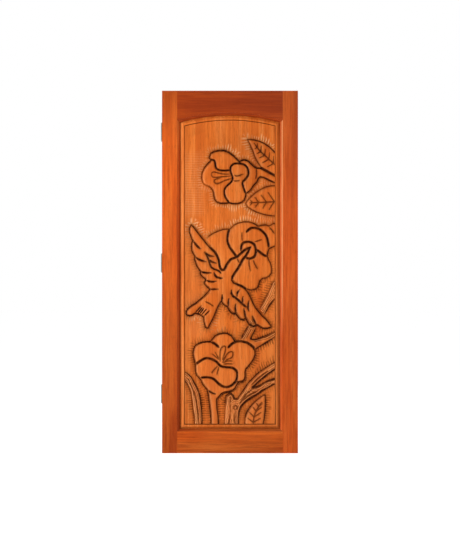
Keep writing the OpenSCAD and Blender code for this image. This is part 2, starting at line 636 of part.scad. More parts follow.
module low_flower_cuts() {
    deep_cut([[10.4, 59.4], [13, 61.5], [16, 63.4], [19.3, 65.3], [22.8, 65.6], [27, 64.4],
              [30.6, 62.5], [33, 60],
              [35.2, 57.8], [38.6, 56.8], [43, 56.4], [46.5, 56.1], [49, 54.7], [51.2, 52.5], [51.8, 49.4],
              [51.5, 46], [50.6, 43], [49.4, 41.3], [46.5, 38.6], [43.4, 37], [39.6, 36.7], [36, 38],
              [32.8, 40.4], [30, 43.3], [27, 45.4], [23, 46.3], [19, 46.4], [15.2, 45.8]]);
    deep_cut([[33.7, 76.2], [31.5, 78.4], [28.7, 80.6], [25.3, 82.1]]);
    deep_cut([[42.4, 75.9], [44.6, 78.2], [47.4, 80.7], [51.7, 82.3]]);
    middle_cut([[50.8, 42.6], [52.4, 42], [54, 41.8]]);
    middle_cut([[22, 34.2], [24.5, 32], [27.3, 30.4], [30.6, 29.5]]);
    // Stamens and the folds beside them
    fine_cut([[34.6, 62], [34.6, 67], [34.8, 72], [35.8, 75.7], [38, 77.6], [40, 77.3], [40.2, 74],
              [38.8, 69.3],
              [37, 64]]);
    fine_cut([[37, 61], [40, 67], [42.4, 70.6], [44.6, 72], [47, 72], [47.6, 69], [46, 66], [42, 64.5],
              [39, 61.5]]);
    fine_cut([[38, 61], [42, 62.8], [47, 62.8]]);
    fine_cut([[38, 59.5], [42, 60], [47, 59.8]]);
    vein([33, 66], [29.8, 71.5]);
    vein([33, 64.5], [27, 70]);
    fine_cut([[32, 57.5], [28.3, 53.6], [26.2, 50.6]]);
    fine_cut([[33.5, 56.5], [32.5, 53], [31.5, 49.3]]);
}

module branch_cuts() {
    fine_cut([[3, 45], [8, 33], [11, 22], [12.5, 10], [13, -1]]);
    fine_cut([[45, 27], [44.5, 20], [45, 12], [43, -1]]);
    fine_cut([[49.5, 12], [49, 4], [50, -1]]);
    fine_cut([[54, 20], [60, 29], [66, 34]]);
    fine_cut([[57, 23], [63, 28], [72, 33]]);
    fine_cut([[66, 39], [73, 46], [82, 53]]);
    // Knot in the trunk
    fine_cut([[49.6, 14], [48, 15.6], [49, 17.8], [51.4, 17.6], [52, 15.4], [50.6, 14.6]]);
    // Twig beside the right wing
    middle_cut([[88, 143], [87, 140.6], [85, 136], [81, 128], [77.2, 120.8], [74.8, 115.6]]);
    middle_cut([[91, 127.5], [86.2, 121.3], [83, 117], [80.9, 113.2], [78.4, 109.3]]);
    // Forked twig under the right wing
    middle_cut([[55.6, 85], [57, 88], [59.4, 92], [61.5, 95.4], [63, 98]]);
    middle_cut([[70.5, 96.5], [69, 93], [66.7, 88.6], [65, 85], [68.4, 84], [72, 84.8], [77, 86.6],
                [82, 88.7],
                [87, 91.3], [91, 93.6]]);
    middle_cut([[91, 88.4], [85, 84], [80.2, 81], [75.2, 78], [70.6, 75], [68.6, 73.6]]);
}

module carving() {
    lowered_ground();
    intersection() {
        cut_limit(deep_cut_d + past);
        union() {
            for (f = deep_figures) deep_outline(f);
            for (f = middle_figures) middle_outline(f);
            top_flower_cuts();
            leaf_cuts();
            middle_flower_cuts();
            bird_cuts();
            low_flower_cuts();
            branch_cuts();
        }
    }
}

// Hinge holes: [height above the hinge's foot, distance from the leaf's edge]. The long row of one
// leaf faces the short row of the other, so that no screw head meets another when the door is shut
function hole_rows(far_pitch, near_pitch) = [for (side = [-1, 1])
    each [[hinge_h / 2 + side * far_pitch / 2, far_hole_inset],
          [hinge_h / 2 + side * near_pitch / 2, near_hole_inset]]];
door_holes = hole_rows(far_hole_pitch, near_hole_pitch);
jamb_holes = hole_rows(near_hole_pitch, far_hole_pitch);

module hinge_mortise(z) {
    translate([edge_x - past, hinge_leaf_y - mortise_play, z - mortise_play])
        cube([hinge_leaf_t + past, door_t, hinge_h + 2 * mortise_play]);
}

// Knuckle of a hinge on the pin's axis, grown by play at both ends and around
module knuckle(z, index, around, ends) {
    translate([pin_x, pin_y, z + index * knuckle_pitch + knuckle_play / 2 - ends])
        cylinder(d = knuckle_d + 2 * around, h = knuckle_pitch - knuckle_play + 2 * ends);
}

// Hinge leaf on the door's edge, with its own knuckles and room for the other leaf's
module hinge_leaf(z, own, others, holes) {
    difference() {
        union() {
            translate([edge_x, hinge_leaf_y, z]) cube([hinge_leaf_t, pin_y - hinge_leaf_y, hinge_h]);
            for (i = own) knuckle(z, i, 0, 0);
        }
        for (i = others) knuckle(z, i, knuckle_clearance, knuckle_play);
        translate([pin_x, pin_y, z - past]) cylinder(d = pin_d + 2 * pin_play, h = hinge_h + 2 * past);
        for (h = holes) translate([edge_x, hinge_leaf_y + h.y, z + h.x]) rotate([0, 90, 0]) {
            translate([0, 0, -past]) cylinder(d = screw_hole_d, h = hinge_leaf_t + 2 * past);
            countersink();
        }
    }
}

module countersink() {
    depth = (countersink_d - screw_hole_d) / 2;
    cylinder(d1 = countersink_d, d2 = screw_hole_d, h = depth);
}

module hinge_door_leaf(z) {
    color(hinge_colour) hinge_leaf(z, door_knuckles, jamb_knuckles, door_holes);
}

module hinge_jamb_leaf(z) {
    color(hinge_colour)
        translate([2 * pin_x, 0, 0]) mirror([1, 0, 0])
            hinge_leaf(z, jamb_knuckles, door_knuckles, jamb_holes);
}

module hinge_pin(z) {
    color(hinge_colour) translate([pin_x, pin_y, z]) {
        cylinder(d = pin_d, h = hinge_h);
        translate([0, 0, hinge_h]) cylinder(d1 = pin_cap_d, d2 = pin_d, h = pin_cap_h);
        translate([0, 0, -pin_cap_h]) cylinder(d1 = pin_d, d2 = pin_cap_d, h = pin_cap_h);
    }
}

// Flat-head screws that hold the door leaf of a hinge
screw_tip = 6;
module screw(d, l, head_d) {
    head_h = (head_d - d) / 2;
    rotate([0, 90, 0]) {
        cylinder(d1 = head_d, d2 = d, h = head_h);
        cylinder(d = d, h = l - screw_tip);
        translate([0, 0, l - screw_tip]) cylinder(d1 = d, d2 = d / 4, h = screw_tip);
    }
}

module hinge_screws(z) {
    head_d = countersink_d - 2 * screw_play;
    color(hinge_colour) for (h = door_holes)
        translate([edge_x + screw_play, hinge_leaf_y + h.y, z + h.x]) screw(screw_d, screw_l, head_d);
}

module screw_pilots(z) {
    for (h = door_holes) translate([edge_x + hinge_leaf_t - past, hinge_leaf_y + h.y, z + h.x])
        rotate([0, 90, 0]) cylinder(d = screw_d + 2 * screw_play, h = screw_l + past);
}

hinge_stile();
lock_stile();
top_rail();
bottom_rail();
carved_panel();
rail_dowels(top_dowel_zs);  // top_rail_dowels
rail_dowels(bottom_dowel_zs);  // bottom_rail_dowels
hinge_door_leaf(upper_hinge_z);  // upper_hinge_door_leaf
hinge_door_leaf(middle_hinge_z);  // middle_hinge_door_leaf
hinge_door_leaf(lower_hinge_z);  // lower_hinge_door_leaf
hinge_screws(upper_hinge_z);  // upper_hinge_screws
hinge_screws(middle_hinge_z);  // middle_hinge_screws
hinge_screws(lower_hinge_z);  // lower_hinge_screws
hinge_jamb_leaf(upper_hinge_z);  // upper_hinge_jamb_leaf
hinge_jamb_leaf(middle_hinge_z);  // middle_hinge_jamb_leaf
hinge_jamb_leaf(lower_hinge_z);  // lower_hinge_jamb_leaf
hinge_pin(upper_hinge_z);  // upper_hinge_pin
hinge_pin(middle_hinge_z);  // middle_hinge_pin
hinge_pin(lower_hinge_z);  // lower_hinge_pin
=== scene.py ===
"""Looks of the carved exterior door: fine carving, glazed wood, satin hinge steel, studio and camera."""
import math

import bpy
import numpy as np
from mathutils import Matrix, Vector
from mathutils.bvhtree import BVHTree
from mathutils.kdtree import KDTree


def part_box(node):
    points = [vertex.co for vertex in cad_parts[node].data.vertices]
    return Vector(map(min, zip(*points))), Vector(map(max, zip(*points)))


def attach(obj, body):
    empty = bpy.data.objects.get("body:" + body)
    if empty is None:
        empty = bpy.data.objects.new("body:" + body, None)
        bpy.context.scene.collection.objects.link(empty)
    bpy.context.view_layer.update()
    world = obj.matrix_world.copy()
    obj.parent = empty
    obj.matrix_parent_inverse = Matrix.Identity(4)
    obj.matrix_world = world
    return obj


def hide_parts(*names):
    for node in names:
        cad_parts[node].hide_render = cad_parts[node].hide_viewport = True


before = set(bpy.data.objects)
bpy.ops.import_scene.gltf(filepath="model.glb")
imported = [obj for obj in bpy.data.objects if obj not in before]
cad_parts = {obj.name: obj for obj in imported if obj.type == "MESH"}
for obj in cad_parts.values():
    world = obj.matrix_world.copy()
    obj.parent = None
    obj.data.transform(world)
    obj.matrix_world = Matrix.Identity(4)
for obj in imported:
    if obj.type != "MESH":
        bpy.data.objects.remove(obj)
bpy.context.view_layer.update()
MM = 0.001

# Sizes of the frame and the panel, the same as in the part
STICKING_W = 15 * MM
ARCH_RISE = 43 * MM
TONGUE_HALF = 4.5 * MM
TONGUE_INSET = 5 * MM
SEAT_INSET = 3.2 * MM
BEVEL_INSET = 15.2 * MM
BEAD_INSET = 27.2 * MM
QUIRK_INSET = 40.2 * MM
FIELD_INSET = 45.2 * MM
QUIRK_D = 5 * MM
GROUND_D = 3 * MM

# Squares of the carver's transfer grid across the field, as many as in the part
GRID_COLS = 89

# Places measured on the part's solids
stile_low, stile_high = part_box("hinge_stile")
_, rail_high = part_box("bottom_rail")
panel_low, panel_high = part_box("carved_panel")
HALF_OPEN = STICKING_W - stile_high[0]
OPEN_BOTTOM = rail_high[2] - STICKING_W
CROWN_Z = panel_high[2] + TONGUE_INSET
ARCH_R = (HALF_OPEN**2 + ARCH_RISE**2) / (2 * ARCH_RISE)
ARCH_CENTRE_Z = CROWN_Z - ARCH_R
FIELD_Y = panel_low[1]
DOOR_TOP = stile_high[2]
GRID_CELL = 2 * (HALF_OPEN - FIELD_INSET) / GRID_COLS


# Points over the panel

COLUMNS = 334
ROWS = 1132


def half_width(inset):
    """Half the width of the panel's front inside an inset."""
    return HALF_OPEN - inset


def arch_z(x, inset):
    """Height of the arch over x, inside an inset."""
    return ARCH_CENTRE_Z + np.sqrt((ARCH_R - inset) ** 2 - x**2)


def field_grid(inset, bottom_inset):
    """Rows and columns of points over the panel inside an inset; the rows bend with the arch."""
    x = np.linspace(-half_width(inset), half_width(inset), COLUMNS + 1)
    share = np.linspace(0, 1, ROWS + 1)[:, None]
    bottom = OPEN_BOTTOM + bottom_inset
    z = bottom + share * (arch_z(x, inset) - bottom)[None, :]
    return np.broadcast_to(x, z.shape).copy(), z


def ring_of(grid):
    """Border of a grid, counter-clockwise from its lower left corner."""
    return np.concatenate([grid[0, :-1], grid[:-1, -1], grid[-1, :0:-1], grid[:0:-1, 0]])


def grid_faces(index):
    """Four-sided faces between the rows and columns of a grid of point numbers."""
    corners = [index[:-1, :-1], index[:-1, 1:], index[1:, 1:], index[1:, :-1]]
    return np.stack(corners, axis=-1).reshape(-1, 4).tolist()


# Fields of numbers over those points

NOISE_ROWS = 97
NOISE_COLUMNS = 89


def blur(field, radius):
    """Gaussian blur with a radius in samples, with the edges held."""
    reach = int(3 * radius) + 1
    weights = np.exp(-0.5 * (np.arange(-reach, reach + 1) / radius) ** 2)
    weights /= weights.sum()
    for axis in (0, 1):
        pad = [(reach, reach) if a == axis else (0, 0) for a in (0, 1)]
        wide = np.pad(field, pad, mode="edge")
        length = field.shape[axis]
        field = sum(w * np.take(wide, range(k, k + length), axis=axis) for k, w in enumerate(weights))
    return field


def spread(mask, reach):
    """Mask grown by a square reach in samples."""
    grown = mask.copy()
    for _ in range(reach):
        wider = grown.copy()
        wider[1:] |= grown[:-1]
        wider[:-1] |= grown[1:]
        grown = wider.copy()
        grown[:, 1:] |= wider[:, :-1]
        grown[:, :-1] |= wider[:, 1:]
    return grown


def smooth_step(low, high, value):
    """0 at low and 1 at high, with a smooth change between them."""
    t = np.clip((value - low) / (high - low), 0, 1)
    return t * t * (3 - 2 * t)


def waves(place, pitch, shift):
    """Even waves from 0 to 1, one for each pitch, shifted by an angle."""
    return 0.5 + 0.5 * np.cos(2 * math.pi * place / pitch + shift)


def value_noise(x, z, cell, seed):
    """Smooth noise from 0 to 1 with features of one cell's size."""
    table = np.random.default_rng(seed).random((NOISE_ROWS, NOISE_COLUMNS))
    gx, gz = x / cell, z / cell
    ix, iz = np.floor(gx).astype(int), np.floor(gz).astype(int)
    fx, fz = smooth_step(0, 1, gx - ix), smooth_step(0, 1, gz - iz)

    def corner(dx, dz):
        return table[(iz + dz) % NOISE_ROWS, (ix + dx) % NOISE_COLUMNS]

    low = corner(0, 0) * (1 - fx) + corner(1, 0) * fx
    high = corner(0, 1) * (1 - fx) + corner(1, 1) * fx
    return low * (1 - fz) + high * fz


# Soft round spots that tune the looks by place: grid column, grid row, reach in squares, share

# Where gouge strokes stand out
STROKE_SPOTS = [
    (48, 277, 13, 1.0), (82, 284, 13, 1.0), (44, 214, 16, 0.6), (15, 200, 12, 1.0), (60, 207, 14, 0.7),
    (76, 133, 14, 0.8), (10, 106, 10, 0.7), (38, 104, 15, 0.7), (72, 64, 15, 1.0), (19, 18, 12, 0.9),
    (37, 17, 9, 0.9), (84, 17, 11, 0.7), (4, 20, 9, 0.35), (82, 80, 12, 0.8), (6, 75, 12, 0.5),
]

# Where glaze and painted shade lie thicker or, below zero, thinner over wide areas; the thinner spots on the
# upper flower's left outline are a painted highlight
GLAZE_SHADE_AND_HIGHLIGHT_SPOTS = [
    (40, 276, 16, 0.12), (68, 272, 18, 0.13), (61, 248, 12, 0.12), (60, 86, 8, 0.22), (44, 130, 10, 0.09),
    (10, 150, 14, 0.06), (9, 118, 14, 0.06), (43, 12, 8, -0.3), (85, 130, 7, -0.12),
    (84, 152, 9, -0.12), (17, 236, 7, -0.7), (19, 224, 6, -0.4), (27, 210, 6, -0.4), (22, 249, 5, -0.4),
]

# Places of the ground between figures darkened with painted shade
SHADED_HOLLOW_SPOTS = [(59, 13, 5, 0.25), (64, 27, 5, 0.28), (56, 38, 5, 0.2), (39, 20, 5, 0.1), (9, 62, 7, 0.15)]

# Rims of figures with the brightest painted highlight
RIM_HIGHLIGHT_SPOTS = [(19, 234, 6, 0.6), (40, 222, 6, 0.4), (36, 238, 4, 0.4)]

# Outlines with the widest dark band of painted shade
SHADED_OUTLINE_SPOTS = [
    (60, 79, 8, 1.0), (50, 81, 5, 0.8), (63, 99, 8, 1.0), (48, 111, 9, 0.7), (78, 84, 8, 0.8),
    (66, 38, 14, 1.0), (58, 14, 9, 1.0), (84, 48, 9, 0.8), (40, 28, 9, 0.8), (15, 20, 9, 0.6),
]

# Low strokes that are rubbed bright like the upper ones
BRIGHT_SPOTS = [(11, 103, 7, 1.0), (32, 97, 7, 0.8)]

# Where a painted sheen makes the ground paler
SHEEN_SPOTS = [(8, 150, 14, 0.1), (9, 118, 14, 0.14), (10, 92, 12, 0.12)]

# Feathers, where glaze and painted shade spread further from the slots
FEATHER_SPOTS = [(20, 162, 13, 1.0), (57, 118, 13, 1.0), (66, 102, 9, 1.0)]

# Branches with bark lines along them: grid column and row of both ends, half width in squares
BRANCHES = [
    (47, -2, 47, 28, 7.5), (55, 18, 91, 56, 6), (62, 29, 91, 47, 5), (71, 85, 91, 92, 5), (58, 88, 67, 99, 5),
    (77, 113, 91, 140, 6), (-1, 55, 9, 32, 5), (9, 32, 14, -2, 5),
]
BRANCH_CORE = 0.7


def spots(places, face):
    """Sum of soft round spots."""
    return sum(share * np.exp(-((face.column - column) ** 2 + (face.row - row) ** 2) / reach**2)
               for column, row, reach, share in places)


def on_branches(face):
    """1 along the middle of a branch, 0 off the branches."""
    share = np.zeros(face.column.shape)
    for column, row, end_column, end_row, half in BRANCHES:
        run, rise = end_column - column, end_row - row
        across, up = face.column - column, face.row - row
        t = np.clip((across * run + up * rise) / (run**2 + rise**2), 0, 1)
        away = np.hypot(across - t * run, up - t * rise)
        share = np.maximum(share, smooth_step(half, BRANCH_CORE * half, away))
    return share


# What the part's carved face holds

# Rays start in front of the field and keep inside its sides
RAY_START = 50 * MM
RAY_INSET = 0.05 * MM
MOST_DEPTH = 12 * MM

# Depths that tell the kinds of surface apart
TOPS_D = 0.25 * MM
GROUND_SLACK = 0.12 * MM
SLOT_D = GROUND_D + 0.2 * MM
LINE_D = GROUND_D + 0.6 * MM
DEEP_D = 4.4 * MM
DEEPEST_D = 6 * MM

# Samples by which tops, ground and lines are widened to find the cuts at their edges
EDGE_REACH = 4


def solid_depth(x, z):
    """Depth of the solid's carved face below its field, sampled by rays from the front."""
    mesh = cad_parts["carved_panel"].data
    tree = BVHTree.FromPolygons([v.co for v in mesh.vertices], [p.vertices for p in mesh.polygons])
    start_y = FIELD_Y - RAY_START
    limit = half_width(FIELD_INSET) - RAY_INSET
    ahead = Vector((0, 1, 0))
    depth = np.zeros(x.size)
    for k, (px, pz) in enumerate(zip(np.clip(x, -limit, limit).ravel(), z.ravel())):
        hit = tree.ray_cast(Vector((px, start_y, pz)), ahead)[0]
        if hit is not None:
            depth[k] = hit.y - FIELD_Y
    return np.clip(depth.reshape(x.shape), 0, MOST_DEPTH)


def nearest_cut(x, z, cut):
    """For every point, the distance to the nearest sample of a cut and that sample's place."""
    places = np.stack([x[cut], z[cut]], axis=1)
    tree = KDTree(len(places))
    for k, (px, pz) in enumerate(places):
        tree.insert((px, pz, 0), k)
    tree.balance()
    found = [tree.find((px, pz, 0)) for px, pz in zip(x.ravel(), z.ravel())]
    index = np.array([f[1] for f in found]).reshape(x.shape)
    distance = np.array([f[2] for f in found]).reshape(x.shape)
    return distance, places[index, 0], places[index, 1]


class CarvedFace:
    """Depth, kind of surface and nearest outline at every point of the part's carved face."""

    def __init__(self, x, z):
        self.x = x
        self.z = z
        self.column = (x + half_width(FIELD_INSET)) / GRID_CELL
        self.row = (z - OPEN_BOTTOM - FIELD_INSET) / GRID_CELL
        self.depth = solid_depth(x, z)
        self.tops = self.depth < TOPS_D
        level = np.abs(self.depth - GROUND_D) < GROUND_SLACK
        self.ground = level & spread(~spread(~level, 1), 1)
        self.cut = ~(self.tops | self.ground)
        self.lines = self.depth > LINE_D
        steps = spread(self.tops, EDGE_REACH) & spread(self.ground, EDGE_REACH)
        self.outline = self.cut & (self.lines | steps)
        self.figure = ~self.ground & ~self.outline
        self.distance, self.near_x, self.near_z = nearest_cut(x, z, self.outline)

    def fade(self, length):
        """1 at an outline, fading away from it over a length."""
        return np.exp(-self.distance / length)

    def noise(self, cell, seed):
        """Noise that differs from point to point."""
        return value_noise(self.x, self.z, cell, seed)

    def noise_of_outline(self, cell, seed):
        """Noise that is the same straight out from a point of an outline."""
        return value_noise(self.near_x, self.near_z, cell, seed)


# Tool marks

# Bark lines and gouge strokes: pitch, angle by which their waves wander, part of a wave that is cut
BARK_PITCH = 8.5 * MM
BARK_WANDER = 5
STROKE_PITCH = 12.5 * MM
STROKE_WANDER = 2.4
STROKE_WAVE = (0.3, 0.85)

# Gouge strokes: least length, what some have more, share of it at full strength, strength off the spots
STROKE_LEAST_L = 20 * MM
STROKE_MORE_L = 34 * MM
STROKE_FULL_SHARE = 0.5
STROKE_ANYWHERE = 0.3

# Comb strokes: pitch in grid squares, angle of wander, rows and columns over which they fade in
COMB_PITCH = 1.7
COMB_WANDER = 2
COMB_FOOT_ROWS = (203, 212)
COMB_TOP_ROWS = (276, 262)
COMB_COLUMNS = (24, 14)


def bark_lines(face):
    """Waves along the branches, 0 in a groove and 1 on a ridge, and the share of a branch at each point."""
    ridges = waves(face.distance, BARK_PITCH, BARK_WANDER * face.noise(cell=40 * MM, seed=14))
    return ridges, on_branches(face) * face.tops


def gouge_strokes(face):
    """Share of a gouge stroke at each point of the ground; the strokes run straight out from the figures."""
    upright = np.abs(face.z - face.near_z) > np.abs(face.x - face.near_x)
    along = np.where(upright, face.near_x + face.x, face.near_z + face.z) / 2
    wander = STROKE_WANDER * face.noise_of_outline(cell=26 * MM, seed=11)
    lane = smooth_step(*STROKE_WAVE, waves(along, STROKE_PITCH, wander))
    length = STROKE_LEAST_L + STROKE_MORE_L * face.noise_of_outline(cell=17 * MM, seed=12)
    strength = np.clip(STROKE_ANYWHERE + spots(STROKE_SPOTS, face), 0, 1)
    strokes = lane * smooth_step(length, STROKE_FULL_SHARE * length, face.distance) * strength
    strokes[~face.ground] = 0
    return strokes


def comb_strokes(face):
    """Fine level strokes, from -1 to 1, and their area on the ground left of the upper flower."""
    wander = COMB_WANDER * face.noise(cell=60 * MM, seed=5)
    teeth = np.sin(2 * math.pi * face.row / COMB_PITCH + wander)
    rows = smooth_step(*COMB_FOOT_ROWS, face.row) * smooth_step(*COMB_TOP_ROWS, face.row)
    return teeth, rows * smooth_step(*COMB_COLUMNS, face.column) * face.ground


# Depth of the finished carving

# Depths, and the distances from an outline over which they fade
ROUNDING_D = 2.2 * MM
ROUNDING_REACH = 6 * MM
UNEVEN_D = 0.7 * MM
FINER_UNEVEN = 0.6
BARK_D = 0.9 * MM
FAR_GROUND_D = 0.9 * MM
GROUND_FALL = 2.9 * MM
GROUND_FALL_REACH = 22 * MM
STROKE_D = 1.6 * MM
COMB_D = 0.3 * MM

# Blur of the finished fields, in samples
SOFTEN = 0.7


def figure_depth(face):
    """What is taken off the figures: rounded towards their outlines and a little uneven, as hand work is."""
    broad = face.noise(cell=34 * MM, seed=3)
    finer = face.noise(cell=15 * MM, seed=4)
    uneven = broad + FINER_UNEVEN * finer - (1 + FINER_UNEVEN) / 2
    return ROUNDING_D * face.fade(ROUNDING_REACH) + UNEVEN_D * uneven


def finished_depth(face, bark, strokes, combs):
    """Depth below the field; the ground slopes down to the figures."""
    ridges, branch = bark
    teeth, comb_area = combs
    depth = face.depth.copy()
    depth[face.figure] += figure_depth(face)[face.figure]
    depth += BARK_D * (1 - ridges) * branch
    slope = FAR_GROUND_D + GROUND_FALL * face.fade(GROUND_FALL_REACH)
    depth[face.ground] = (slope + STROKE_D * strokes)[face.ground]
    depth += COMB_D * teeth * comb_area
    return blur(depth, SOFTEN)


# Glaze and painted shade, bare wood and painted highlights

# Grid rows and columns that bound a look
LOW_ROWS = (110, 20)
BRIGHT_ROWS = (170, 200)
LEFT_EDGE_COLUMNS = (6, 0)
TAIL_COLUMN = 27
TAIL_ROWS = (106, 120)
SLOT_TOP_ROW = 200

# Samples that a slot keeps off the ground, and within which a cut counts as beside the ground
SLOT_CLEAR = 6
LEFT_WALL_REACH = 5

# Depth of full glaze, reach of a rim, least distance to divide by, distances over which strokes turn bare
FULL_GLAZE_D = 1.3 * MM
RIM_REACH = 6 * MM
LEAST_DISTANCE = 0.1 * MM
STROKE_BARE_DISTANCES = (1 * MM, 9 * MM)

# Values between which a look fades in
RIM_TURN = (0.2, 0.9)
SHADED_OUTLINE_SPAN = (0.2, 0.6)
LEFT_WALL_STEEPNESS = (0.15, 0.7)
BARK_GROOVE = (0.4, 0.05)
BARK_RIDGE = (0.5, 0.95)

# Glaze and painted shade beside the outlines: share and reach in millimetres on the ground and on the
# figures, evenness
GROUND_GLAZE_AND_SHADE = 0.6
GROUND_GLAZE_AND_SHADE_LESS_LOW = 0.12
GROUND_GLAZE_AND_SHADE_REACH = 9
GROUND_GLAZE_AND_SHADE_REACH_MORE_LOW = 5
FIGURE_GLAZE_AND_SHADE = 0.7
FIGURE_GLAZE_AND_SHADE_REACH = 4
FIGURE_GLAZE_AND_SHADE_REACH_MORE_FEATHERS = 4
# Darker along the field's left edge
LEFT_EDGE_DARKENING = 0.14
LEAST_PATCH = 0.6
PATCH_SPAN = 0.8

# Glaze in the cuts, with painted shade along the low and the bold lines
VEIN_GLAZE = 0.8
DEEP_GLAZE = 0.9
SLOT_GLAZE = 0.9
LOW_LINE_SHADE = 0.85
SHADED_OUTLINE_DARKNESS = 0.95
STROKE_GLAZE = 0.42
BARK_GLAZE = 0.7
# Share of glaze taken off walls that face left: a painted highlight on their lit side
LEFT_WALL_HIGHLIGHT = 0.5

# Bare wood and painted highlights
COMB_BARE = 0.4
BARK_BARE = 0.4
RIM_HIGHLIGHT = 0.5
RIM_HIGHLIGHT_MORE_LOW = 0.15
LOW_TOPS_BARE = 0.07


def low_share(face):
    """1 at the foot of the panel, where glaze and painted shade lie wider, fading to 0 over its lower third.
    """
    return smooth_step(*LOW_ROWS, face.row)


def bright_share(face):
    """1 where gouge strokes are bare and bright, 0 where they are dark."""
    return np.clip(smooth_step(*BRIGHT_ROWS, face.row) + spots(BRIGHT_SPOTS, face), 0, 1)


def left_rim_highlight(face):
    """1 on the rims of figures that have their outline on the left, where a highlight is painted."""
    rightness = (face.x - face.near_x) / (face.distance + LEAST_DISTANCE)
    return face.figure * face.fade(RIM_REACH) * smooth_step(*RIM_TURN, rightness)


def glaze_and_shade_beside(face):
    """Patchy glaze and painted shade beside the outlines, on the ground and on the figures, less on the
    painted highlight of left rims.
    """
    low = low_share(face)
    feathers = np.clip(spots(FEATHER_SPOTS, face), 0, 1)
    ground_reach = (GROUND_GLAZE_AND_SHADE_REACH + GROUND_GLAZE_AND_SHADE_REACH_MORE_LOW * low) * MM
    figure_reach = (FIGURE_GLAZE_AND_SHADE_REACH + FIGURE_GLAZE_AND_SHADE_REACH_MORE_FEATHERS * feathers) * MM
    on_ground = (GROUND_GLAZE_AND_SHADE - GROUND_GLAZE_AND_SHADE_LESS_LOW * low) * face.fade(ground_reach)
    on_figure = FIGURE_GLAZE_AND_SHADE * face.fade(figure_reach) * (1 - left_rim_highlight(face))
    patches = LEAST_PATCH + PATCH_SPAN * face.noise(cell=28 * MM, seed=8)
    return np.where(face.ground, on_ground, on_figure) * patches


def glaze_and_shade_in_cuts(face):
    """Glaze that fills the cuts, wider in the deep ones, with painted shade widening the low and the bold
    lines.
    """
    fine = face.cut & ~spread(face.lines, EDGE_REACH)
    veins = (spread(fine, 1) | face.cut & ~face.outline) & ~face.ground
    deep = spread(face.depth > DEEP_D, 1) | spread(face.depth > DEEPEST_D, 2)
    tail = (face.column < TAIL_COLUMN) & (face.row > TAIL_ROWS[0]) & (face.row < TAIL_ROWS[1])
    slots = (face.depth > SLOT_D) & ~spread(face.ground, SLOT_CLEAR) & ~tail & (face.row < SLOT_TOP_ROW)
    shaded_outline = smooth_step(*SHADED_OUTLINE_SPAN, spots(SHADED_OUTLINE_SPOTS, face))
    return np.maximum.reduce([
        smooth_step(0, FULL_GLAZE_D, face.depth) * face.outline,
        VEIN_GLAZE * veins,
        DEEP_GLAZE * deep,
        SLOT_GLAZE * spread(slots, 2),
        LOW_LINE_SHADE * low_share(face) * spread(face.lines, 1),
        SHADED_OUTLINE_DARKNESS * shaded_outline * spread(face.lines, 2),
    ])


def glaze_and_shade_share(face, depth, bark, strokes):
    """Dark glaze and painted shade at each point; made thinner where a cut beside the ground faces left,
    which paints a highlight on that lit side.
    """
    ridges, branch = bark
    steepness = -np.gradient(depth, axis=1) / np.gradient(face.x, axis=1)
    # Walls of cuts that face left next to the ground: painted highlight on their lit side
    facing_left = smooth_step(*LEFT_WALL_STEEPNESS, steepness) * face.outline
    lit_left_walls = blur(facing_left * spread(face.ground, LEFT_WALL_REACH), SOFTEN)
    glaze_and_shade = np.maximum(blur(glaze_and_shade_in_cuts(face), SOFTEN), glaze_and_shade_beside(face))
    glaze_and_shade += STROKE_GLAZE * strokes * (1 - bright_share(face))
    glaze_and_shade += BARK_GLAZE * smooth_step(*BARK_GROOVE, ridges) * branch
    glaze_and_shade += spots(GLAZE_SHADE_AND_HIGHLIGHT_SPOTS, face) + spots(SHADED_HOLLOW_SPOTS, face) * face.ground
    glaze_and_shade += LEFT_EDGE_DARKENING * smooth_step(*LEFT_EDGE_COLUMNS, face.column)
    glaze_and_shade *= 1 - LEFT_WALL_HIGHLIGHT * lit_left_walls
    return np.clip(glaze_and_shade, 0, 1)


def bare_and_highlight_share(face, bark, strokes, combs):
    """Bare, lighter wood at each point: on strokes, combed ground and bark ridges; painted highlights on left
    rims and a painted sheen on the ground.
    """
    ridges, branch = bark
    teeth, comb_area = combs
    low = low_share(face)
    bare_and_highlight = strokes * bright_share(face) * smooth_step(*STROKE_BARE_DISTANCES, face.distance)
    bare_and_highlight += COMB_BARE * comb_area * np.clip(teeth, 0, 1)
    bare_and_highlight += BARK_BARE * smooth_step(*BARK_RIDGE, ridges) * branch
    # Painted highlight on the rims of figures whose outline is on the left
    bare_and_highlight += (RIM_HIGHLIGHT + RIM_HIGHLIGHT_MORE_LOW * low + spots(RIM_HIGHLIGHT_SPOTS, face)) * left_rim_highlight(face)
    bare_and_highlight += spots(SHEEN_SPOTS, face) * face.ground
    bare_and_highlight += LOW_TOPS_BARE * low * face.tops
    return np.clip(bare_and_highlight, 0, 1)


def carve(x, z):
    """Final depth of the field, with a share of dark glaze and painted shade and a share of bare wood and
    painted highlight for each point.
    """
    face = CarvedFace(x, z)
    bark = bark_lines(face)
    strokes = gouge_strokes(face)
    combs = comb_strokes(face)
    depth = finished_depth(face, bark, strokes, combs)
    return depth, glaze_and_shade_share(face, depth, bark, strokes), bare_and_highlight_share(face, bark, strokes, combs)


# Mesh of the panel

PANEL_TRIANGLES = 190_000
SHARP_ANGLE = math.radians(50)
RING_SLACK = 0.1 * MM

# Depths of the bead's rounded edges below the field
BEAD_INNER_EDGE_D = 1.2 * MM
BEAD_INNER_SHOULDER_D = 0.3 * MM
BEAD_OUTER_SHOULDER_D = 0.4 * MM


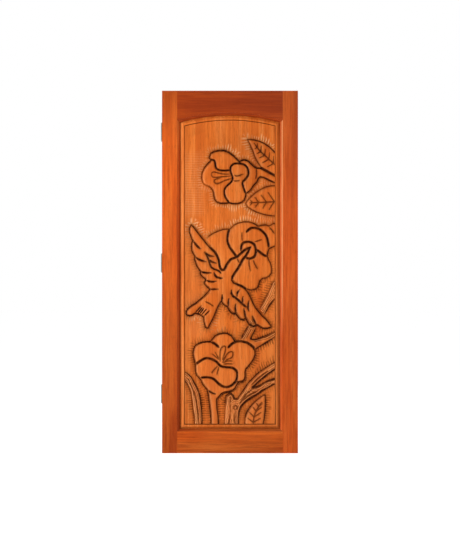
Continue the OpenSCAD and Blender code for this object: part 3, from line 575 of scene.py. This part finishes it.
def border_rings():
    """Rings from the field's edge over bead, slope and tongue to the back.

    Each is (inset, y, glaze at the sides, glaze at the foot, glaze under the arch); these shares also hold
    painted shade in the quirk and on the slope, set apart for the sides, the foot and the arch.
    """
    shoulder = (QUIRK_INSET - BEAD_INSET) / 4
    quirk_mid = (QUIRK_INSET + FIELD_INSET) / 2
    bead_mid = (BEAD_INSET + QUIRK_INSET) / 2
    front = [
        (quirk_mid, FIELD_Y + QUIRK_D, 0.42, 1.0, 0.9),
        (QUIRK_INSET, FIELD_Y + BEAD_INNER_EDGE_D, 0.25, 0.75, 0.45),
        (QUIRK_INSET - shoulder / 2, FIELD_Y + BEAD_INNER_SHOULDER_D, 0.12, 0.22, 0.05),
        (bead_mid, FIELD_Y, 0.1, 0.04, 0.0),
        (BEAD_INSET + shoulder, FIELD_Y + BEAD_OUTER_SHOULDER_D, 0.08, 0.08, 0.0),
        (BEAD_INSET, FIELD_Y + shoulder, 0.3, 0.3, 0.0),
        (BEVEL_INSET, -TONGUE_HALF, 0.75, 0.58, 0.3),
        (TONGUE_INSET, -TONGUE_HALF, 0.95, 0.9, 0.45),
    ]
    back = [(inset, -y, shade, shade, shade) for inset, y, shade, _, _ in reversed(front)]
    return front + back + [(FIELD_INSET, -FIELD_Y, 0.0, 0.0, 0.0)]


def ring_points(inset, y, side_shade, foot_shade, arch_shade):
    """Points of one ring and the share of glaze and painted shade at each."""
    bottom_inset = SEAT_INSET if inset == TONGUE_INSET else inset
    x, z = (ring_of(grid) for grid in field_grid(inset, bottom_inset))
    at_foot = z < OPEN_BOTTOM + bottom_inset + RING_SLACK
    at_arch = z > arch_z(x, inset) - RING_SLACK
    shades = np.select([at_foot, at_arch], [foot_shade, arch_shade], side_shade)
    return np.stack([x, np.full(len(x), y), z], axis=1), shades


def mesh_object(name, points, faces):
    """New object in the scene from points and faces."""
    mesh = bpy.data.meshes.new(name)
    mesh.from_pydata(points, [], faces)
    made = bpy.data.objects.new(name, mesh)
    bpy.context.scene.collection.objects.link(made)
    return made


def thin_out(obj, triangles):
    """Collapses the flat stretches of a mesh to at most that many triangles."""
    obj.data.calc_loop_triangles()
    share = triangles / len(obj.data.loop_triangles)
    if share < 1:
        modifier = obj.modifiers.new("thin_out", "DECIMATE")
        modifier.ratio = share
        fine = bpy.data.meshes.new_from_object(obj.evaluated_get(bpy.context.evaluated_depsgraph_get()))
        obj.modifiers.clear()
        old, obj.data = obj.data, fine
        bpy.data.meshes.remove(old)
    obj.data.shade_smooth()
    obj.data.set_sharp_from_angle(angle=SHARP_ANGLE)


def carved_panel():
    """Closed panel: the carved field, then ring after ring round to its plain back."""
    x, z = field_grid(FIELD_INSET, FIELD_INSET)
    depth, glaze_and_shade, bare_and_highlight = carve(x, z)
    points = [np.stack([x.ravel(), (FIELD_Y + depth).ravel(), z.ravel()], axis=1)]
    shades = [glaze_and_shade.ravel()]
    index = np.arange(x.size).reshape(x.shape)
    faces = grid_faces(index)

    inner = ring_of(index)
    used = x.size
    for ring in border_rings():
        places, shade = ring_points(*ring)
        outer = used + np.arange(len(places))
        points.append(places)
        shades.append(shade)
        strip = np.stack([inner, outer, np.roll(outer, -1), np.roll(inner, -1)], axis=1)
        faces += strip.tolist()
        inner = outer
        used += len(places)
    faces.append(inner[::-1].tolist())

    made = mesh_object("carved_panel_fine", np.concatenate(points).tolist(), faces)
    whole = {
        "glaze_and_shade": np.concatenate(shades),
        "bare_and_highlight": np.concatenate([bare_and_highlight.ravel(), np.zeros(used - x.size)]),
    }
    for name, values in whole.items():
        made.data.attributes.new(name, "FLOAT", "POINT").data.foreach_set("value", values)
    made.data.validate()
    thin_out(made, PANEL_TRIANGLES)
    return made


# Materials


def linear(red, green, blue):
    """Linear colour from an sRGB colour on the 0 to 255 scale."""
    def channel(c):
        c /= 255
        return c / 12.92 if c <= 0.04045 else ((c + 0.055) / 1.055) ** 2.4
    return (channel(red), channel(green), channel(blue), 1)


class Graph:
    """Short hand for building a node tree."""

    def __init__(self, name):
        self.material = bpy.data.materials.new(name)
        self.material.use_nodes = True
        self.tree = self.material.node_tree
        self.shader = self.tree.nodes["Principled BSDF"]

    def node(self, kind, **settings):
        made = self.tree.nodes.new(kind)
        for key, value in settings.items():
            setattr(made, key, value)
        return made

    def link(self, source, target):
        self.tree.links.new(source, target)

    def feed(self, socket, value):
        if isinstance(value, bpy.types.NodeSocket):
            self.link(value, socket)
        else:
            socket.default_value = value

    def coordinates(self, scale, offset=(0, 0, 0)):
        place = self.node("ShaderNodeTexCoord")
        mapping = self.node("ShaderNodeMapping")
        mapping.inputs["Scale"].default_value = scale
        mapping.inputs["Location"].default_value = offset
        self.link(place.outputs["Object"], mapping.inputs["Vector"])
        return mapping.outputs["Vector"]

    def coordinate(self, axis, scale=1.0):
        place = self.node("ShaderNodeSeparateXYZ")
        self.link(self.coordinates((scale, scale, scale)), place.inputs[0])
        return place.outputs[axis]

    def noise(self, vector, detail=3.0, roughness=0.55, distortion=0.0):
        made = self.node("ShaderNodeTexNoise")
        self.link(vector, made.inputs["Vector"])
        settings = {"Scale": 1.0, "Detail": detail, "Roughness": roughness, "Distortion": distortion}
        for key, value in settings.items():
            made.inputs[key].default_value = value
        return made.outputs["Fac"]

    def ramp(self, value, stops):
        stops = list(stops)
        made = self.node("ShaderNodeValToRGB")
        band = made.color_ramp
        while len(band.elements) < len(stops):
            band.elements.new(0.5)
        for element, (place, colour) in zip(band.elements, stops):
            element.position = place
            element.color = colour
        self.link(value, made.inputs["Fac"])
        return made.outputs["Color"]

    def span(self, value, low, high, out_low=0.0, out_high=1.0):
        made = self.node("ShaderNodeMapRange", clamp=True, interpolation_type="SMOOTHSTEP")
        self.link(value, made.inputs["Value"])
        limits = {"From Min": low, "From Max": high, "To Min": out_low, "To Max": out_high}
        for key, number in limits.items():
            made.inputs[key].default_value = number
        return made.outputs["Result"]

    def math(self, operation, a, b=0.0):
        made = self.node("ShaderNodeMath", operation=operation)
        self.feed(made.inputs[0], a)
        self.feed(made.inputs[1], b)
        return made.outputs[0]

    def mix(self, share, a, b, blend="MIX"):
        made = self.node("ShaderNodeMix", data_type="RGBA", blend_type=blend)
        self.feed(made.inputs["Factor"], share)
        self.feed(made.inputs["A"], a)
        self.feed(made.inputs["B"], b)
        return made.outputs["Result"]

    def attribute(self, name):
        return self.node("ShaderNodeAttribute", attribute_name=name).outputs["Fac"]

    def bump(self, height, strength, distance):
        made = self.node("ShaderNodeBump")
        made.inputs["Strength"].default_value = strength
        made.inputs["Distance"].default_value = distance
        self.link(height, made.inputs["Height"])
        self.link(made.outputs["Normal"], self.shader.inputs["Normal"])


# How much a noise is stretched along each axis by the grain
ALONG_Z = (1, 1, 0.05)
ALONG_X = (0.05, 1, 1)

# Noises of the wood, as a scale across the grain
FIGURE_SCALE = 16
STREAK_SCALE = 110
PORE_SCALE = 620
CLOUD_SCALES = (2.1, 2.1, 1.3)
SEED_STEP = (1.7, 0.9, 2.3)
WOOD_STOPS = (0.28, 0.5, 0.74)

# Colours in the grain, of the glaze and painted shade in the cuts, and of bare wood and painted highlights
PORE = linear(80, 26, 4)
GLAZE_AND_SHADE = linear(31, 5, 0)
BARE_WOOD_AND_HIGHLIGHT = linear(255, 184, 122)

# Relief of the grain
STREAK_RISE = 0.6
PORE_RISE = -0.7
GRAIN_BUMP = 0.25
GRAIN_BUMP_D = 0.5 * MM

# Sheen of the varnish
FRAME_SPECULAR = 0.15
PANEL_SPECULAR = 0.04

# Moulded edges of the frame, and the painted highlight along the arris of its right stile
EDGE_BLEND = 3 * MM
ARRIS_INSET = 3 * MM
ARRIS_CORE = 1.5 * MM
ARRIS_REACH = 4.5 * MM
ARRIS_HEIGHTS = (0.3, 0.5)
ARRIS_HIGHLIGHT = 0.6

# Blotches in the panel's glaze and painted shade, and strength of its bare wood and painted highlights
BLOTCH_SCALES = (60, 60, 60)
BARE_AND_HIGHLIGHT_STRENGTH = 0.85

# Steel of the hinges
WEAR_SCALES = (40, 40, 40)
BRUSHED_SCALES = (900, 900, 30)
STEEL = (linear(150, 149, 146), linear(172, 171, 168), linear(188, 187, 184))
STEEL_STOPS = (0.3, 0.55, 0.8)
STEEL_BUMP = 0.15
STEEL_BUMP_D = 0.1 * MM


def stile_edge(graph):
    """1 on the moulded edge of a stile, 0 on its flat face."""
    off_middle = graph.math("ABSOLUTE", graph.coordinate("X"))
    return graph.span(off_middle, HALF_OPEN, HALF_OPEN - EDGE_BLEND)


def bottom_rail_edge(graph):
    """1 on the moulded edge of the bottom rail, 0 on its flat face."""
    return graph.span(graph.coordinate("Z"), OPEN_BOTTOM, OPEN_BOTTOM + EDGE_BLEND)


def top_rail_edge(graph):
    """1 on the moulded edge of the top rail, under the arch, 0 on its flat face."""
    reach = graph.node("ShaderNodeVectorMath", operation="LENGTH")
    graph.link(graph.coordinates((1, 0, 1), (0, 0, -ARCH_CENTRE_Z)), reach.inputs[0])
    return graph.span(reach.outputs["Value"], ARCH_R, ARCH_R - EDGE_BLEND)


def height_share(graph):
    """Height as a share of the door's."""
    return graph.coordinate("Z", 1 / DOOR_TOP)


def arris_highlight(graph):
    """1 along the painted highlight on the arris of the right stile, fading out below the middle of the door.
    """
    off = graph.math("ABSOLUTE", graph.math("ADD", graph.coordinate("X"), ARRIS_INSET - HALF_OPEN))
    line = graph.span(off, ARRIS_REACH, ARRIS_CORE)
    return graph.math("MULTIPLY", line, graph.span(height_share(graph), *ARRIS_HEIGHTS))


def wood_graph(name, colours, along, seed):
    """Varnished wood with its grain along one axis, and its colour before any glaze."""
    dark, _, light = colours
    offset = tuple(seed * step for step in SEED_STEP)
    graph = Graph(name)

    def stretched(scale):
        return graph.coordinates(tuple(scale * a for a in along), offset)

    figure = graph.noise(stretched(FIGURE_SCALE), detail=4, distortion=0.6)
    streaks = graph.noise(stretched(STREAK_SCALE), detail=5, roughness=0.6)
    pores = graph.noise(stretched(PORE_SCALE), detail=2)
    clouds = graph.noise(graph.coordinates(CLOUD_SCALES, offset), detail=2)

    colour = graph.ramp(figure, zip(WOOD_STOPS, colours))
    colour = graph.mix(graph.span(streaks, low=0.38, high=0.66, out_high=0.7), colour, dark)
    colour = graph.mix(graph.span(clouds, low=0.35, high=0.65, out_high=0.22), colour, light)
    colour = graph.mix(graph.span(pores, low=0.58, high=0.72, out_high=0.4), colour, PORE)

    streak_height = graph.math("MULTIPLY", streaks, STREAK_RISE)
    pore_height = graph.math("MULTIPLY", pores, PORE_RISE)
    graph.bump(graph.math("ADD", streak_height, pore_height), GRAIN_BUMP, GRAIN_BUMP_D)
    roughness = graph.span(streaks, low=0.3, high=0.75, out_low=0.36, out_high=0.52)
    graph.link(roughness, graph.shader.inputs["Roughness"])
    return graph, colour


def finished_wood(graph, colour, specular):
    """Material of a wood graph with its last colour."""
    graph.shader.inputs["Specular IOR Level"].default_value = specular
    graph.link(colour, graph.shader.inputs["Base Color"])
    return graph.material


def frame_wood(name, colours, along, seed, tones=None, edge=None, edge_darkening=0.0, painted_highlight=None):
    """Wood of the frame.

    Tones darken it at shares of the door's height, as painted light and shade on the stiles; edge tells where
    the moulded edge is darkened by its share, and painted_highlight where a highlight is painted on.
    """
    graph, colour = wood_graph(name, colours, along, seed)
    if tones:
        shade = graph.ramp(height_share(graph), [(place, (tone, tone, tone, 1)) for place, tone in tones])
        colour = graph.mix(1.0, colour, shade, "MULTIPLY")
    if edge:
        colour = graph.mix(graph.math("MULTIPLY", edge(graph), edge_darkening), colour, GLAZE_AND_SHADE)
    if painted_highlight:
        colour = graph.mix(graph.math("MULTIPLY", painted_highlight(graph), ARRIS_HIGHLIGHT), colour, BARE_WOOD_AND_HIGHLIGHT)
    return finished_wood(graph, colour, FRAME_SPECULAR)


def carved_wood(name, colours, seed):
    """Wood of the panel: dark glaze left in the cuts with painted shade beside them, bare lighter wood on
    tool strokes and edges with painted highlights on the lit ones.
    """
    graph, colour = wood_graph(name, colours, ALONG_Z, seed)
    colour = graph.mix(graph.math("MULTIPLY", graph.attribute("bare_and_highlight"), BARE_AND_HIGHLIGHT_STRENGTH), colour, BARE_WOOD_AND_HIGHLIGHT)
    blotches = graph.noise(graph.coordinates(BLOTCH_SCALES), detail=4)
    thickness = graph.span(blotches, low=0.25, high=0.6, out_low=0.82)
    colour = graph.mix(graph.math("MULTIPLY", graph.attribute("glaze_and_shade"), thickness), colour, GLAZE_AND_SHADE)
    return finished_wood(graph, colour, PANEL_SPECULAR)


def satin_steel(name):
    """Brushed steel of the hinges, a little uneven from wear."""
    graph = Graph(name)
    wear = graph.noise(graph.coordinates(WEAR_SCALES), detail=5)
    brushed = graph.noise(graph.coordinates(BRUSHED_SCALES), detail=2)
    graph.link(graph.ramp(wear, zip(STEEL_STOPS, STEEL)), graph.shader.inputs["Base Color"])
    graph.shader.inputs["Metallic"].default_value = 1.0
    roughness = graph.span(wear, low=0.3, high=0.7, out_low=0.42, out_high=0.28)
    graph.link(roughness, graph.shader.inputs["Roughness"])
    graph.bump(brushed, STEEL_BUMP, STEEL_BUMP_D)
    return graph.material


# Dressing of the door

# Colours of each wood: dark, middle, light
LEFT_STILE = (linear(194, 70, 8), linear(233, 99, 23), linear(248, 121, 40))
RIGHT_STILE = (linear(194, 70, 8), linear(233, 98, 24), linear(248, 122, 46))
TOP_RAIL = (linear(143, 46, 2), linear(172, 61, 5), linear(192, 77, 12))
BOTTOM_RAIL = (linear(182, 68, 7), linear(231, 105, 25), linear(253, 138, 54))
DOWEL = (linear(186, 142, 92), linear(206, 164, 112), linear(222, 184, 134))
PANEL = (linear(214, 98, 32), linear(245, 127, 48), linear(254, 153, 78))

# Tones of a wood up the door: share of its height, brightness; on the stiles these are painted light and
# shade
LEFT_STILE_PAINTED_LIGHT = [
    (0.0, 0.58), (0.17, 0.68), (0.35, 0.74), (0.5, 0.9), (0.75, 0.98), (0.86, 1.0), (0.93, 0.82), (1.0, 0.7),
]
RIGHT_STILE_PAINTED_LIGHT = [(0.0, 0.88), (0.35, 0.86), (0.5, 0.98), (0.65, 1.0), (0.85, 0.86), (1.0, 0.74)]
BOTTOM_TONES = [(0.0, 0.68), (0.03, 0.8), (0.04, 0.94), (0.06, 1.0)]


def dress(node, material):
    """Gives a piece of the part its one material."""
    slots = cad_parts[node].data.materials
    slots.clear()
    slots.append(material)


def dress_frame():
    """Wood on the stiles, rails and dowels."""
    # Moulded edges are darkened by the share in edge_darkening, the bottom rail's most
    left = frame_wood("left_stile_wood", LEFT_STILE, ALONG_Z, seed=1, tones=LEFT_STILE_PAINTED_LIGHT,
                      edge=stile_edge, edge_darkening=0.1)
    right = frame_wood("right_stile_wood", RIGHT_STILE, ALONG_Z, seed=2, tones=RIGHT_STILE_PAINTED_LIGHT,
                       edge=stile_edge, edge_darkening=0.05, painted_highlight=arris_highlight)
    top = frame_wood("top_rail_wood", TOP_RAIL, ALONG_X, seed=3, edge=top_rail_edge, edge_darkening=0.1)
    bottom = frame_wood("bottom_rail_wood", BOTTOM_RAIL, ALONG_X, seed=4, tones=BOTTOM_TONES,
                        edge=bottom_rail_edge, edge_darkening=0.45)
    beech = frame_wood("dowel_beech", DOWEL, ALONG_X, seed=5)
    dress("hinge_stile", left)
    dress("lock_stile", right)
    dress("top_rail", top)
    dress("bottom_rail", bottom)
    dress("top_rail_dowels", beech)
    dress("bottom_rail_dowels", beech)


def dress_hinges():
    """Steel on every piece of the hinges."""
    steel = satin_steel("satin_steel")
    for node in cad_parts:
        if "_hinge_" in node:
            dress(node, steel)


dress_frame()
dress_hinges()
panel = carved_panel()
panel.data.materials.append(carved_wood("panel_wood", PANEL, seed=6))
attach(panel, "door_leaf")
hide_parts("carved_panel")


# Studio and camera

PHOTO_H = 544
PHOTO_MM_PER_PIXEL = 5.604
CAMERA_DISTANCE = 9.0
SENSOR_H = 36
FAR_CLIP = 100
DOOR_MIDDLE = Vector((0, 0, DOOR_TOP / 2))

FLOOR_HALF = 30
FLOOR_PALE = (0.86, 0.86, 0.86, 1)
FLOOR_GLOW = 0.76
WHITE = (1, 1, 1, 1)
WORLD_LIGHT = 0.28
WORLD_SEEN = 1.0

# Area lights: name, place, width and height, power
LIGHTS = [
    ("key", (-3.4, -1.9, 1.5), (1.2, 2.4), 120),
    ("fill", (1.5, -4.5, 2.2), (3.0, 3.0), 32),
    ("back_fill", (1.5, 4.5, 2.2), (3.0, 3.0), 60),
]


def seen_directly(tree):
    """1 for camera, glossy and transmission rays, 0 for the rays that light the scene."""
    path = tree.nodes.new("ShaderNodeLightPath")
    seen = path.outputs["Is Camera Ray"]
    for kind in ("Is Glossy Ray", "Is Transmission Ray"):
        either = tree.nodes.new("ShaderNodeMath")
        either.operation = "MAXIMUM"
        tree.links.new(seen, either.inputs[0])
        tree.links.new(path.outputs[kind], either.inputs[1])
        seen = either.outputs[0]
    return seen


def white_stage_material(name):
    """Pale diffuse surface with a glow for the camera, which so sees it white with soft shadows."""
    graph = Graph(name)
    pale = graph.node("ShaderNodeBsdfDiffuse")
    pale.inputs["Color"].default_value = FLOOR_PALE
    glow = graph.node("ShaderNodeEmission")
    graph.link(graph.math("MULTIPLY", seen_directly(graph.tree), FLOOR_GLOW), glow.inputs["Strength"])
    both = graph.node("ShaderNodeAddShader")
    graph.link(pale.outputs["BSDF"], both.inputs[0])
    graph.link(glow.outputs["Emission"], both.inputs[1])
    graph.link(both.outputs["Shader"], graph.tree.nodes["Material Output"].inputs["Surface"])
    graph.tree.nodes.remove(graph.shader)
    return graph.material


def floor():
    """Wide level floor under the door."""
    corners = [(-1, -1), (1, -1), (1, 1), (-1, 1)]
    made = mesh_object("floor", [(x * FLOOR_HALF, y * FLOOR_HALF, 0) for x, y in corners], [(0, 1, 2, 3)])
    made.data.materials.append(white_stage_material("pale_floor"))


def studio_world():
    """Even light from all round, seen as plain white."""
    world = bpy.data.worlds.new("studio")
    world.use_nodes = True
    tree = world.node_tree
    light = tree.nodes["Background"]
    white = tree.nodes.new("ShaderNodeBackground")
    for background, strength in ((light, WORLD_LIGHT), (white, WORLD_SEEN)):
        background.inputs["Color"].default_value = WHITE
        background.inputs["Strength"].default_value = strength
    mix = tree.nodes.new("ShaderNodeMixShader")
    tree.links.new(seen_directly(tree), mix.inputs["Fac"])
    tree.links.new(light.outputs["Background"], mix.inputs[1])
    tree.links.new(white.outputs["Background"], mix.inputs[2])
    tree.links.new(mix.outputs["Shader"], tree.nodes["World Output"].inputs["Surface"])
    bpy.context.scene.world = world


def aimed(obj):
    """Turns a light or camera to the middle of the door."""
    obj.rotation_euler = (DOOR_MIDDLE - obj.location).to_track_quat("-Z", "Y").to_euler()


def area_light(name, place, size, power):
    data = bpy.data.lights.new(name, "AREA")
    data.shape = "RECTANGLE"
    data.size, data.size_y = size
    data.energy = power
    made = bpy.data.objects.new(name, data)
    made.location = place
    aimed(made)
    bpy.context.scene.collection.objects.link(made)


def camera():
    """Camera straight in front of the door, with the photo's scale and frame."""
    data = bpy.data.cameras.new("camera")
    data.sensor_fit = "VERTICAL"
    data.sensor_height = SENSOR_H
    shown_h = PHOTO_H * PHOTO_MM_PER_PIXEL * MM
    data.lens = data.sensor_height * CAMERA_DISTANCE / shown_h
    data.clip_end = FAR_CLIP
    made = bpy.data.objects.new("camera", data)
    made.location = DOOR_MIDDLE + Vector((0, stile_low[1] - CAMERA_DISTANCE, 0))
    aimed(made)
    bpy.context.scene.collection.objects.link(made)
    bpy.context.scene.camera = made


floor()
studio_world()
for light in LIGHTS:
    area_light(*light)
camera()
bpy.context.scene.view_settings.view_transform = "Standard"
